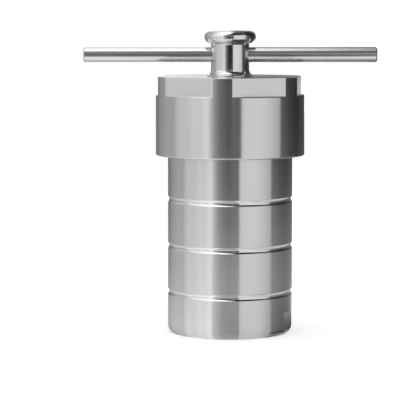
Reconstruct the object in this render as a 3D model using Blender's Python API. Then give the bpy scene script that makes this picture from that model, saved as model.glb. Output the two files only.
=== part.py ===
"""Hydrothermal reactor: a screw-capped steel vessel that clamps a fluoropolymer liner shut.

The vessel stands on Z = 0 with its axis on world Z and its tommy bar along X. The side that faces
-Y is called the front, and an azimuth is counted from the front towards +X. Sizes are in metres.
"""

import math

import bmesh
import bpy

# Clearances between separate pieces
SEAT_GAP = 0.0003
RUN_GAP = 0.0003

# Vessel shell
SHELL_DIAMETER = 0.067
SHELL_FLOOR = 0.010
BORE_DIAMETER = 0.0546
BORE_CORNER = 0.0015
BORE_LEAD_IN = 0.0008
BASE_ROUND = 0.0026

# Grooves turned round the shell
GROOVE_FIRST_HEIGHT = 0.0222
GROOVE_SPACING = 0.0249
GROOVE_WIDTH = 0.0034
GROOVE_DEPTH = 0.0007

# Two spanner flats at the shell's foot
SPANNER_FLAT_DEPTH = 0.0015
SPANNER_HEIGHT = 0.011
SPANNER_AZIMUTH = 76.0

# Discs and liner stacked in the bore
LOWER_DISC_THICKNESS = 0.004
LINER_WALL = 0.007
LINER_FLOOR = 0.009
LINER_DEPTH = 0.0798
LINER_CORNER = 0.005
LID_FLANGE = 0.006
LID_SPIGOT = 0.006
PRESSURE_DISC_THICKNESS = 0.005
PRESSURE_DISC_PROUD = 0.0015
EDGE_BREAK = 0.0006

# Thread between the shell and the cap
CAP_THREAD_DIAMETER = 0.066
CAP_THREAD_PITCH = 0.002
CAP_THREAD_TURNS = 8
CAP_THREAD_SPARE = 0.002
RELIEF_LENGTH = 0.0025
RELIEF_DEPTH = 0.0008

# Screw cap
CAP_DIAMETER = 0.080
CAP_PLATE = 0.014
CAP_MOUTH_DEPTH = 0.0022
CAP_MOUTH_GAP = 0.0004
CAP_SHOULDER_GAP = 0.0005
CAP_TOP_CHAMFER = 0.0008
CAP_MOUTH_ROUND = 0.0010
CAP_CORNER = 0.0015
CAP_FLAT_DEPTH = 0.003
CAP_FLAT_HEIGHT = 0.0094
CAP_FLAT_COUNT = 6
CAP_FLAT_AZIMUTH = 24.2

# Pressing screw
SCREW_THREAD_DIAMETER = 0.020
SCREW_THREAD_PITCH = 0.0025
SCREW_TURNS = 2
SCREW_TIP_DIAMETER = 0.0168
SCREW_TIP_END = 0.0012
SCREW_TIP_NECK = 0.0012
SCREW_HOLE_CHAMFER = 0.0012

# Knob of the pressing screw
COLLAR_DIAMETER = 0.0246
COLLAR_EDGE = 0.0005
COLLAR_FILLET = 0.0035
NECK_DIAMETER = 0.0205
NECK_HEIGHT = 0.0173
NECK_FILLET = 0.0020
HEAD_DIAMETER = 0.0277
HEAD_THICKNESS = 0.0069
HEAD_DOME = 0.0002
CROSS_HOLE_CHAMFER = 0.0005

# Retaining ring in the screw's groove
RING_THICKNESS = 0.0012
RING_OUTER_DIAMETER = 0.024
RING_HOLD = 0.0007
RING_OPENING = 50.0

# Tommy bar
BAR_DIAMETER = 0.008
BAR_LENGTH = 0.157
BAR_HEIGHT = 0.0115
BAR_CHAMFER = 0.0006

# Segments round the axis, steps along a rounded edge, and the fold that shows as an edge
SEGMENTS_WIDE = 64
SEGMENTS_NARROW = 40
SEGMENTS_BAR = 28
ROUND_STEPS = 4
SHARP_ANGLE = 35.0

# A 60 degree thread's pitch line lies this share of a pitch inside its outer diameter
PITCH_LINE_SHARE = 0.6495

# Heights that follow from the stack of pieces
LOWER_DISC_Z = SHELL_FLOOR + SEAT_GAP
LINER_Z = LOWER_DISC_Z + LOWER_DISC_THICKNESS + SEAT_GAP
LINER_RIM_Z = LINER_Z + LINER_FLOOR + LINER_DEPTH
LID_FLANGE_Z = LINER_RIM_Z + SEAT_GAP
PRESSURE_DISC_Z = LID_FLANGE_Z + LID_FLANGE + SEAT_GAP
SHELL_TOP_Z = PRESSURE_DISC_Z + PRESSURE_DISC_THICKNESS - PRESSURE_DISC_PROUD
SCREW_Z = PRESSURE_DISC_Z + PRESSURE_DISC_THICKNESS + SEAT_GAP
RING_Z = SCREW_Z + SCREW_TIP_END + RUN_GAP
SCREW_TRAVEL = SCREW_TURNS * SCREW_THREAD_PITCH
CAP_CEILING_Z = RING_Z + RING_THICKNESS + SCREW_TRAVEL + RUN_GAP
CAP_THREAD_Z = SHELL_TOP_Z - CAP_THREAD_TURNS * CAP_THREAD_PITCH
CAP_Z = CAP_THREAD_Z - CAP_MOUTH_DEPTH
CAP_TOP_Z = CAP_CEILING_Z + CAP_PLATE
COLLAR_Z = CAP_TOP_Z + SEAT_GAP
SHOULDER_Z = CAP_THREAD_Z - CAP_SHOULDER_GAP


def arc(centre_r, centre_z, radius, start, end, steps=ROUND_STEPS):
    """Points (r, z) on an arc from the start angle to the end angle, in degrees from +r."""
    points = []
    for i in range(steps + 1):
        angle = math.radians(start + (end - start) * i / steps)
        points.append((centre_r + radius * math.cos(angle), centre_z + radius * math.sin(angle)))
    return points


def pitch_radius(diameter, pitch, side):
    """Radius of the plain land that stands for a thread, half a gap inside or outside its pitch line."""
    return diameter / 2 - PITCH_LINE_SHARE * pitch / 2 + side * RUN_GAP / 2


def finish(bm, name, material, location, parent):
    """Makes an object of a bmesh, with its round faces smooth and its edges sharp."""
    bmesh.ops.remove_doubles(bm, verts=bm.verts, dist=0.000001)
    bmesh.ops.recalc_face_normals(bm, faces=bm.faces)
    mesh = bpy.data.meshes.new(name)
    bm.to_mesh(mesh)
    bm.free()
    mesh.shade_smooth()
    mesh.set_sharp_from_angle(angle=math.radians(SHARP_ANGLE))
    piece = bpy.data.objects.new(name, mesh)
    bpy.context.collection.objects.link(piece)
    piece.location = location
    piece.parent = parent
    if material:
        mesh.materials.append(material)
    return piece


def turned(name, outline, segments, material, z, parent, closed=False, sweep=360.0):
    """Spins an outline of (r, z) points about Z. An open outline starts and ends on the axis."""
    bm = bmesh.new()
    verts = [bm.verts.new((r, 0.0, height)) for r, height in outline]
    edges = [bm.edges.new(pair) for pair in zip(verts, verts[1:])]
    if closed:
        edges.append(bm.edges.new((verts[-1], verts[0])))
    whole = sweep >= 360.0
    ends = []
    if not whole:
        ends.append(bm.faces.new(verts))
    bmesh.ops.spin(
        bm,
        geom=verts + edges + ends,
        axis=(0.0, 0.0, 1.0),
        cent=(0.0, 0.0, 0.0),
        angle=math.radians(sweep),
        steps=segments,
        use_merge=whole,
    )
    return finish(bm, name, material, (0.0, 0.0, z), parent)


def cut(piece, cutter):
    """Takes a hidden cutter out of a piece."""
    cutter.hide_render = True
    cutter.display_type = "WIRE"
    modifier = piece.modifiers.new(cutter.name, "BOOLEAN")
    modifier.operation = "DIFFERENCE"
    modifier.solver = "EXACT"
    modifier.object = cutter


def flats_cutter(name, count, depth, diameter, azimuth, low, high, parent):
    """One slab for each milled flat of a round piece, evenly spaced from an azimuth."""
    bm = bmesh.new()
    inner = diameter / 2 - depth
    outer = diameter / 2 + EDGE_BREAK
    half_width = math.sqrt(outer ** 2 - inner ** 2) + EDGE_BREAK
    inner_half = min(half_width, inner * math.tan(math.pi / count))
    outer_half = min(half_width, outer * math.tan(math.pi / count))
    for i in range(count):
        turn = math.radians(azimuth + 360.0 * i / count)
        out = (math.sin(turn), -math.cos(turn))
        side = (math.cos(turn), math.sin(turn))
        rings = []
        for z in (low, high):
            ring = []
            corners = ((inner, -inner_half), (outer, -outer_half), (outer, outer_half), (inner, inner_half))
            for reach, shift in corners:
                x = out[0] * reach + side[0] * shift
                y = out[1] * reach + side[1] * shift
                ring.append(bm.verts.new((x, y, z)))
            rings.append(ring)
        bm.faces.new(rings[0][::-1])
        bm.faces.new(rings[1])
        for a in range(4):
            b = (a + 1) % 4
            bm.faces.new((rings[0][a], rings[0][b], rings[1][b], rings[1][a]))
    return finish(bm, name, None, (0.0, 0.0, 0.0), parent)


def rod(name, diameter, length, chamfer, segments, material, location, parent):
    """A round bar along X, centred on its location, with chamfered ends."""
    radius = diameter / 2
    half = length / 2
    outline = [(0.0, -half), (radius - chamfer, -half), (radius, chamfer - half)]
    outline += [(radius, half - chamfer), (radius - chamfer, half), (0.0, half)]
    piece = turned(name, outline, segments, material, 0.0, parent)
    piece.location = location
    piece.rotation_euler = (0.0, math.radians(90.0), 0.0)
    return piece


def make_material(name, colour, roughness, metallic):
    material = bpy.data.materials.new(name)
    material.use_nodes = True
    shader = material.node_tree.nodes["Principled BSDF"]
    shader.inputs["Base Color"].default_value = (*colour, 1.0)
    shader.inputs["Roughness"].default_value = roughness
    shader.inputs["Metallic"].default_value = metallic
    return material


def groove_heights():
    """Centres of the grooves that fit between the foot and the cap's mouth."""
    heights = []
    z = GROOVE_FIRST_HEIGHT
    while z < CAP_Z - GROOVE_SPACING / 2:
        heights.append(z)
        z += GROOVE_SPACING
    return heights


def build_shell(steel, root):
    """Turned vessel: foot, grooves, shoulder, threaded neck and bore, with two flats to hold it by."""
    radius = SHELL_DIAMETER / 2
    bore = BORE_DIAMETER / 2
    thread = pitch_radius(CAP_THREAD_DIAMETER, CAP_THREAD_PITCH, -1)
    relief = thread - RELIEF_DEPTH
    outline = [(0.0, 0.0)]
    outline += arc(radius - BASE_ROUND, BASE_ROUND, BASE_ROUND, -90, 0)
    groove_radius = (GROOVE_WIDTH ** 2 / 4 + GROOVE_DEPTH ** 2) / (2 * GROOVE_DEPTH)
    reach = math.degrees(math.asin(GROOVE_WIDTH / 2 / groove_radius))
    centre = radius - GROOVE_DEPTH + groove_radius
    for z in groove_heights():
        outline += arc(centre, z, groove_radius, 180 + reach, 180 - reach)
    outline += [(radius, SHOULDER_Z - EDGE_BREAK), (radius - EDGE_BREAK, SHOULDER_Z)]
    outline += [(relief, SHOULDER_Z), (relief, SHOULDER_Z + RELIEF_LENGTH)]
    outline += [(thread, SHOULDER_Z + RELIEF_LENGTH + RELIEF_DEPTH)]
    outline += [(thread, SHELL_TOP_Z - RELIEF_DEPTH), (relief, SHELL_TOP_Z)]
    outline += [(bore + BORE_LEAD_IN, SHELL_TOP_Z), (bore, SHELL_TOP_Z - BORE_LEAD_IN)]
    corner = arc(bore - BORE_CORNER, SHELL_FLOOR + BORE_CORNER, BORE_CORNER, 0, -90)
    outline += corner + [(0.0, SHELL_FLOOR)]
    shell = turned("shell", outline, SEGMENTS_WIDE, steel, 0.0, root)
    slabs = flats_cutter(
        "spanner_flats_cutter",
        2,
        SPANNER_FLAT_DEPTH,
        SHELL_DIAMETER,
        SPANNER_AZIMUTH,
        -EDGE_BREAK,
        SPANNER_HEIGHT,
        shell,
    )
    cut(shell, slabs)
    return shell


def disc(name, thickness, z, steel, root):
    """Loose steel disc that drops into the bore."""
    radius = BORE_DIAMETER / 2 - RUN_GAP
    outline = [(0.0, 0.0), (radius - EDGE_BREAK, 0.0), (radius, EDGE_BREAK)]
    outline += [(radius, thickness - EDGE_BREAK), (radius - EDGE_BREAK, thickness), (0.0, thickness)]
    return turned(name, outline, SEGMENTS_WIDE, steel, z, root)


def build_liner(plastic, root):
    """Thick-walled beaker with a rounded inside corner."""
    outer = BORE_DIAMETER / 2 - RUN_GAP
    inner = outer - LINER_WALL
    height = LINER_FLOOR + LINER_DEPTH
    outline = [(0.0, 0.0)]
    outline += arc(outer - BORE_CORNER, BORE_CORNER, BORE_CORNER, -90, 0)
    outline += [(outer, height - EDGE_BREAK), (outer - EDGE_BREAK, height)]
    outline += [(inner + EDGE_BREAK, height), (inner, height - EDGE_BREAK)]
    outline += arc(inner - LINER_CORNER, LINER_FLOOR + LINER_CORNER, LINER_CORNER, 0, -90)
    outline += [(0.0, LINER_FLOOR)]
    return turned("liner", outline, SEGMENTS_WIDE, plastic, LINER_Z, root)


def build_liner_lid(plastic, root):
    """Flanged lid whose spigot plugs the liner. Its origin is on the flange's underside."""
    outer = BORE_DIAMETER / 2 - RUN_GAP
    spigot = outer - LINER_WALL - RUN_GAP
    outline = [(0.0, -LID_SPIGOT), (spigot - EDGE_BREAK, -LID_SPIGOT), (spigot, EDGE_BREAK - LID_SPIGOT)]
    outline += [(spigot, 0.0), (outer - EDGE_BREAK, 0.0), (outer, EDGE_BREAK)]
    outline += [(outer, LID_FLANGE - EDGE_BREAK), (outer - EDGE_BREAK, LID_FLANGE), (0.0, LID_FLANGE)]
    return turned("liner_lid", outline, SEGMENTS_WIDE, plastic, LID_FLANGE_Z, root)


def build_cap(steel, root):
    """Turned screw cap with a tapped centre and six milled flats. Its origin is in its mouth."""
    radius = CAP_DIAMETER / 2
    mouth = SHELL_DIAMETER / 2 + CAP_MOUTH_GAP
    thread = pitch_radius(CAP_THREAD_DIAMETER, CAP_THREAD_PITCH, 1)
    relief = thread + RELIEF_DEPTH
    hole = pitch_radius(SCREW_THREAD_DIAMETER, SCREW_THREAD_PITCH, 1)
    top = CAP_TOP_Z - CAP_Z
    ceiling = CAP_CEILING_Z - CAP_Z
    thread_end = CAP_MOUTH_DEPTH + CAP_THREAD_TURNS * CAP_THREAD_PITCH + CAP_THREAD_SPARE
    outline = arc(radius - CAP_MOUTH_ROUND, CAP_MOUTH_ROUND, CAP_MOUTH_ROUND, -90, 0)
    outline += [(radius, top - CAP_TOP_CHAMFER), (radius - CAP_TOP_CHAMFER, top)]
    outline += [(hole + SCREW_HOLE_CHAMFER, top), (hole, top - SCREW_HOLE_CHAMFER)]
    outline += [(hole, ceiling + SCREW_HOLE_CHAMFER), (hole + SCREW_HOLE_CHAMFER, ceiling)]
    outline += arc(relief - CAP_CORNER, ceiling - CAP_CORNER, CAP_CORNER, 90, 0)
    outline += [(relief, thread_end + RELIEF_DEPTH), (thread, thread_end)]
    outline += [(thread, CAP_MOUTH_DEPTH + RELIEF_DEPTH), (relief, CAP_MOUTH_DEPTH)]
    outline += [(mouth, CAP_MOUTH_DEPTH), (mouth, EDGE_BREAK), (mouth + EDGE_BREAK, 0.0)]
    cap = turned("cap", outline, SEGMENTS_WIDE, steel, CAP_Z, root, closed=True)
    slabs = flats_cutter(
        "cap_flats_cutter",
        CAP_FLAT_COUNT,
        CAP_FLAT_DEPTH,
        CAP_DIAMETER,
        CAP_FLAT_AZIMUTH,
        top - CAP_FLAT_HEIGHT,
        top + EDGE_BREAK,
        cap,
    )
    cut(cap, slabs)
    return cap


def build_press_screw(steel, cap):
    """Pressing screw and knob turned in one, cross-drilled for the bar. Its origin is its tip.

    The fillet under the head runs into the neck and into the head's round without a step.
    """
    thread = pitch_radius(SCREW_THREAD_DIAMETER, SCREW_THREAD_PITCH, -1)
    tip = SCREW_TIP_DIAMETER / 2
    groove = tip - RUN_GAP - RING_HOLD
    groove_low = SCREW_TIP_END
    groove_high = groove_low + RING_THICKNESS + 2 * RUN_GAP
    thread_low = groove_high + SCREW_TIP_NECK
    collar_z = COLLAR_Z - SCREW_Z
    collar = COLLAR_DIAMETER / 2
    neck = NECK_DIAMETER / 2
    head_low = collar_z + NECK_HEIGHT
    round_radius = HEAD_THICKNESS / 2
    head_centre = HEAD_DIAMETER / 2 - round_radius
    outline = [(0.0, 0.0), (tip - EDGE_BREAK, 0.0), (tip, EDGE_BREAK)]
    outline += [(tip, groove_low), (groove, groove_low), (groove, groove_high), (tip, groove_high)]
    outline += [(tip, thread_low), (thread, thread_low + thread - tip)]
    outline += [(thread, collar_z - RELIEF_LENGTH + tip - thread), (tip, collar_z - RELIEF_LENGTH)]
    outline += [(tip, collar_z), (collar, collar_z), (collar, collar_z + COLLAR_EDGE)]
    flare = math.degrees(math.acos(max(0.0, 1 - (collar - neck) / COLLAR_FILLET)))
    flare_height = COLLAR_FILLET * math.sin(math.radians(flare))
    outline += arc(neck + COLLAR_FILLET, collar_z + COLLAR_EDGE + flare_height, COLLAR_FILLET, 180 + flare, 180)
    head_z = head_low + round_radius
    across = head_centre - neck - NECK_FILLET
    fillet_z = head_z - math.sqrt((round_radius + NECK_FILLET) ** 2 - across ** 2)
    meet = math.degrees(math.atan2(head_z - fillet_z, across))
    outline += arc(neck + NECK_FILLET, fillet_z, NECK_FILLET, 180, meet)
    outline += arc(head_centre, head_z, round_radius, meet - 180, 90, 8)
    outline += [(head_centre / 2, head_low + HEAD_THICKNESS + HEAD_DOME * 0.75)]
    outline += [(0.0, head_low + HEAD_THICKNESS + HEAD_DOME)]
    screw = turned("press_screw", outline, SEGMENTS_NARROW, steel, SCREW_Z - CAP_Z, cap)
    hole = BAR_DIAMETER / 2 + RUN_GAP
    mouth = hole + 2 * CROSS_HOLE_CHAMFER
    cone = [(hole, neck - CROSS_HOLE_CHAMFER), (mouth, neck + CROSS_HOLE_CHAMFER), (mouth, HEAD_DIAMETER)]
    bore = [(0.0, -HEAD_DIAMETER)]
    bore += [(r, -reach) for r, reach in reversed(cone)]
    bore += cone
    bore += [(0.0, HEAD_DIAMETER)]
    drill = turned("cross_hole_cutter", bore, SEGMENTS_BAR, None, 0.0, screw)
    drill.location = (0.0, 0.0, collar_z + BAR_HEIGHT)
    drill.rotation_euler = (0.0, math.radians(90.0), 0.0)
    cut(screw, drill)
    return screw


def build_retaining_ring(steel, screw):
    """Open snap ring that keeps the screw in the cap. Its origin is the centre of its underside."""
    inner = SCREW_TIP_DIAMETER / 2 - RING_HOLD
    outer = RING_OUTER_DIAMETER / 2
    outline = [(inner, 0.0), (outer, 0.0), (outer, RING_THICKNESS), (inner, RING_THICKNESS)]
    ring = turned(
        "retaining_ring",
        outline,
        SEGMENTS_NARROW,
        steel,
        RING_Z - SCREW_Z,
        screw,
        closed=True,
        sweep=360.0 - RING_OPENING,
    )
    return ring


def main():
    for item in list(bpy.data.objects):
        bpy.data.objects.remove(item, do_unlink=True)

    turned_steel = make_material("turned_steel", (0.56, 0.56, 0.56), 0.28, 1.0)
    polished_steel = make_material("polished_steel", (0.66, 0.66, 0.66), 0.12, 1.0)
    spring_steel = make_material("spring_steel", (0.20, 0.20, 0.21), 0.35, 1.0)
    white_plastic = make_material("white_plastic", (0.85, 0.85, 0.83), 0.45, 0.0)

    root = bpy.data.objects.new("reactor_axis", None)
    bpy.context.collection.objects.link(root)

    build_shell(turned_steel, root)
    disc("lower_disc", LOWER_DISC_THICKNESS, LOWER_DISC_Z, turned_steel, root)
    build_liner(white_plastic, root)
    build_liner_lid(white_plastic, root)
    disc("pressure_disc", PRESSURE_DISC_THICKNESS, PRESSURE_DISC_Z, turned_steel, root)
    cap = build_cap(turned_steel, root)
    screw = build_press_screw(polished_steel, cap)
    build_retaining_ring(spring_steel, screw)
    bar_place = (0.0, 0.0, COLLAR_Z - SCREW_Z + BAR_HEIGHT)
    rod("tommy_bar", BAR_DIAMETER, BAR_LENGTH, BAR_CHAMFER, SEGMENTS_BAR, polished_steel, bar_place, screw)


main()
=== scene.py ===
"""Hydrothermal reactor, dressed for its picture: turned steel, polished knob and white liner."""

import math

import bmesh
import bpy
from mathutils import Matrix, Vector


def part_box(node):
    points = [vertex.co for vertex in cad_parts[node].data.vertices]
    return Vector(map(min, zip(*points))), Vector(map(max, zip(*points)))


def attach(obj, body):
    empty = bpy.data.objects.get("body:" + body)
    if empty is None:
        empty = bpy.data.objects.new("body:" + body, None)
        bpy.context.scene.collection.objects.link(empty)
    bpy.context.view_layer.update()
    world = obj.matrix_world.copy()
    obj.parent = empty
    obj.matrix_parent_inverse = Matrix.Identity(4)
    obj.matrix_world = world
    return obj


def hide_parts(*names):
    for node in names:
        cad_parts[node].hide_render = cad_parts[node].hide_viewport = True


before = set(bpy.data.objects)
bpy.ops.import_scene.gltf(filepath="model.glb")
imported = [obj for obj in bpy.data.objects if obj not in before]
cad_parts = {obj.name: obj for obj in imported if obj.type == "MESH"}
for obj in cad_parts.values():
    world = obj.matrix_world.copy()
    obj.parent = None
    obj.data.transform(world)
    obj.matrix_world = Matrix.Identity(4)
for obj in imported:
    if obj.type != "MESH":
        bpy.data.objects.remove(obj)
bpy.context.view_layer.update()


# The vessel's shell
# One turning in 304 stainless steel: a round foot, three hollow grooves, a threaded neck and a deep bore,
# with two flats milled at the foot so that a holder can stop it turning.

shell_low, shell_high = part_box("shell")
SHELL_RADIUS = (shell_high.x - shell_low.x) / 2
SHELL_TOP = shell_high.z
BASE_ROUND = 0.0034
GROOVE_HEIGHTS = (0.0222, 0.0471, 0.0720)
GROOVE_WIDTH = 0.0034
GROOVE_DEPTH = 0.0007
LIP_ROUND = 0.0002
LIP_LAND = 0.0001
SPANNER_AZIMUTH = 76.0
SPANNER_FLAT_DEPTH = 0.0015
SPANNER_HEIGHT = 0.0120
SPANNER_LEDGE_ROUND = 0.00025
SHOULDER = 0.097
SHOULDER_ROUND = 0.0005
NECK_RELIEF_TOP = 0.0995
NECK_RELIEF_RADIUS = 0.0314
NECK_ROOT_RADIUS = 0.0318
BORE_RADIUS = 0.0273
BORE_MOUTH_ROUND = 0.0006
BORE_FLOOR_ROUND = 0.0015
SHELL_FLOOR = 0.010
KEEN_ROUND = 0.0001
WORN_ROUND = 0.0002
TOOL_ROUND = 0.0004


def arc(centre_r, centre_z, radius, start, end, steps):
    """Points (r, z) on an arc from one angle to another, in degrees from +r."""
    turn = [math.radians(start + (end - start) * i / steps) for i in range(steps + 1)]
    return [(centre_r + radius * math.cos(a), centre_z + radius * math.sin(a)) for a in turn]


def rounded(corners, steps=5, support=0.00006):
    """Rounds each corner (r, z, radius) of an outline, and keeps a plain point (r, z) as it is. Points just
    beyond a round keep the faces beside it flat. Every corner gives the same number of points, so that
    outlines with other radii can be skinned together."""
    points = []
    last = len(corners) - 1
    for i, corner in enumerate(corners):
        if len(corner) == 2:
            points.append(corner)
            continue
        r, z, radius = corner
        before = corners[i - 1 if i else last]
        after = corners[i + 1 if i < last else 0]
        back = (r - before[0], z - before[1])
        ahead = (after[0] - r, after[1] - z)
        long_back = math.hypot(*back)
        long_ahead = math.hypot(*ahead)
        if min(long_back, long_ahead) < 1e-9 or radius <= 0.0:
            points += [(r, z)] * (steps + 3)
            continue
        back = (back[0] / long_back, back[1] / long_back)
        ahead = (ahead[0] / long_ahead, ahead[1] / long_ahead)
        cross = back[0] * ahead[1] - back[1] * ahead[0]
        turn = math.atan2(cross, back[0] * ahead[0] + back[1] * ahead[1])
        if abs(turn) < 1e-4:
            points += [(r, z)] * (steps + 3)
            continue
        # A round takes less than half of the line on either side, so that it never meets the next one.
        reach = min(radius * math.tan(abs(turn) / 2), 0.45 * long_back, 0.45 * long_ahead)
        true_radius = reach / math.tan(abs(turn) / 2)
        side = 1.0 if turn > 0 else -1.0
        start = (r - back[0] * reach, z - back[1] * reach)
        centre = (start[0] - side * back[1] * true_radius, start[1] + side * back[0] * true_radius)
        spare = min(support, 0.04 * long_back, 0.04 * long_ahead)
        points.append((start[0] - back[0] * spare, start[1] - back[1] * spare))
        for k in range(steps + 1):
            angle = turn * k / steps
            dr = start[0] - centre[0]
            dz = start[1] - centre[1]
            points.append((
                centre[0] + dr * math.cos(angle) - dz * math.sin(angle),
                centre[1] + dr * math.sin(angle) + dz * math.cos(angle),
            ))
        end = (r + ahead[0] * reach, z + ahead[1] * reach)
        points.append((end[0] + ahead[0] * spare, end[1] + ahead[1] * spare))
    return points


def skin(name, outlines, angles, closed):
    """Skins outlines of (r, z), one at each angle round Z, counted from -Y towards +X."""
    bm = bmesh.new()
    columns = []
    for outline, angle in zip(outlines, angles):
        out = (math.sin(angle), -math.cos(angle))
        columns.append([bm.verts.new((out[0] * r, out[1] * r, z)) for r, z in outline])
    rows = len(columns[0])
    for i, column in enumerate(columns):
        beside = columns[(i + 1) % len(columns)]
        for j in range(rows if closed else rows - 1):
            k = (j + 1) % rows
            bm.faces.new((column[j], beside[j], beside[k], column[k]))
    bmesh.ops.remove_doubles(bm, verts=bm.verts, dist=5e-7)
    bmesh.ops.dissolve_degenerate(bm, edges=bm.edges, dist=4e-7)
    bmesh.ops.recalc_face_normals(bm, faces=bm.faces)
    mesh = bpy.data.meshes.new(name)
    bm.to_mesh(mesh)
    bm.free()
    mesh.shade_smooth()
    piece = bpy.data.objects.new(name, mesh)
    bpy.context.collection.objects.link(piece)
    return piece


def flat_columns(azimuths, half, inside, outside):
    """Angles round a piece with milled flats, with extra ones where each flat meets the round."""
    near = (-0.5, -0.25, -0.12, -0.04, 0.04, 0.12, 0.25, 0.5)
    between = 360.0 / len(azimuths) - 2 * half
    angles = []
    for azimuth in azimuths:
        angles += [azimuth - half + 2 * half * k / inside for k in range(1, inside)]
        angles += [azimuth + half + between * k / outside for k in range(1, outside)]
        angles += [edge + small for edge in (azimuth - half, azimuth + half) for small in near]
    return [math.radians(a) for a in sorted(a % 360.0 for a in angles)]


def flat_cut(angle, azimuths, radius, depth, blend=0.00012):
    """How deep the nearest flat cuts into a round piece at an angle, with its edge a little worn."""
    cut = 0.0
    for azimuth in azimuths:
        off = math.remainder(angle - math.radians(azimuth), 2 * math.pi)
        if abs(off) < math.pi / 3:
            over = radius - (radius - depth) / math.cos(off)
            soft = max(blend - abs(over), 0.0) / blend
            cut = max(cut, max(over, 0.0) + soft * soft * blend / 4)
    return cut if cut > 5e-7 else 0.0


def linear(text):
    """A colour written as sRGB hex, turned to the linear values that a shader takes."""
    parts = [int(text[i:i + 2], 16) / 255 for i in (1, 3, 5)]
    return tuple(p / 12.92 if p <= 0.04045 else ((p + 0.055) / 1.055) ** 2.4 for p in parts) + (1.0,)


def node(tree, kind, links=None, **settings):
    """Adds a node, sets what is named, and links sockets given as name or number to outputs or values."""
    made = tree.nodes.new(kind)
    for key, value in settings.items():
        setattr(made, key, value)
    for key, value in (links or {}).items():
        if isinstance(value, bpy.types.NodeSocket):
            tree.links.new(value, made.inputs[key])
        else:
            made.inputs[key].default_value = value
    return made


def steel(name, colour, *, roughness, anisotropy, line_mm, line_depth_mm, stain, contrast=0.03, haze=0.0,
          axis="Z", milled=False):
    """Stainless steel cut by a lathe or a mill. Lines run round the axis, so a reflection keeps its sides
    sharp and smears along the axis. They are really about 0.1 mm apart, and are drawn as coarse as shows.
    A milled face has level lines instead. Contrast is how far the lines differ in tone, stain how far the
    roughness wanders over patches of about 17 mm, and haze the share of light that a dull film scatters."""
    material = bpy.data.materials.new(name)
    material.use_nodes = True
    tree = material.node_tree
    shader = tree.nodes["Principled BSDF"]
    shader.inputs["Metallic"].default_value = 1.0 - haze
    shader.inputs["Anisotropic"].default_value = anisotropy
    shader.inputs["Anisotropic Rotation"].default_value = 0.25
    place = node(tree, "ShaderNodeTexCoord").outputs["Object"]
    apart = node(tree, "ShaderNodeSeparateXYZ", {0: place})
    run = apart.outputs["XYZ".index(axis)]
    if not milled:
        across = [apart.outputs[k] for k in range(3) if "XYZ"[k] != axis]
        flat = node(tree, "ShaderNodeCombineXYZ", {0: across[0], 1: across[1]})
        radius = node(tree, "ShaderNodeVectorMath", {0: flat.outputs[0]}, operation="LENGTH")
        run = node(tree, "ShaderNodeMath", {0: radius.outputs["Value"], 1: run}, operation="ADD").outputs[0]
    lines = node(tree, "ShaderNodeTexNoise", {"W": run, "Scale": 1000.0 / line_mm, "Detail": 2.0},
                 noise_dimensions="1D")
    patches = node(tree, "ShaderNodeTexNoise", {"Vector": place, "Scale": 60.0, "Detail": 3.0})
    rough = node(tree, "ShaderNodeMapRange",
                 {"Value": patches.outputs["Fac"], "To Min": roughness * (1 - stain),
                  "To Max": roughness * (1 + stain)})
    tree.links.new(rough.outputs[0], shader.inputs["Roughness"])
    tone = node(tree, "ShaderNodeMapRange",
                {"Value": lines.outputs["Fac"], "To Min": 1 - contrast, "To Max": 1 + contrast})
    tint = node(tree, "ShaderNodeVectorMath", {0: linear(colour)[:3], "Scale": tone.outputs[0]},
                operation="SCALE")
    tree.links.new(tint.outputs[0], shader.inputs["Base Color"])
    bump = node(tree, "ShaderNodeBump",
                {"Strength": 1.0, "Distance": line_depth_mm / 1000.0, "Height": lines.outputs["Fac"]})
    tree.links.new(bump.outputs[0], shader.inputs["Normal"])
    tangent = node(tree, "ShaderNodeTangent", direction_type="RADIAL", axis=axis)
    tree.links.new(tangent.outputs[0], shader.inputs["Tangent"])
    return material


# The lathe leaves a satin that draws reflections out along the height, the grooves' form tool leaves nearly
# a mirror, and the mill leaves a greyer face with level streaks.
turned_steel = steel("turned_stainless_304", "#C9C9C9", roughness=0.22, anisotropy=0.9, line_mm=0.5,
                     line_depth_mm=0.0006, stain=0.15)
polished_groove = steel("polished_stainless_304", "#D6D6D6", roughness=0.10, anisotropy=0.0, line_mm=0.8,
                        line_depth_mm=0.0002, stain=0.2)
milled_steel = steel("milled_stainless_304", "#CCCCCC", roughness=0.34, anisotropy=0.5, line_mm=0.8,
                     line_depth_mm=0.0012, stain=0.12, contrast=0.12, milled=True)

SPANNER_AZIMUTHS = (SPANNER_AZIMUTH, SPANNER_AZIMUTH + 180.0)
spanner_half = math.degrees(math.acos((SHELL_RADIUS - SPANNER_FLAT_DEPTH) / SHELL_RADIUS))


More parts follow.
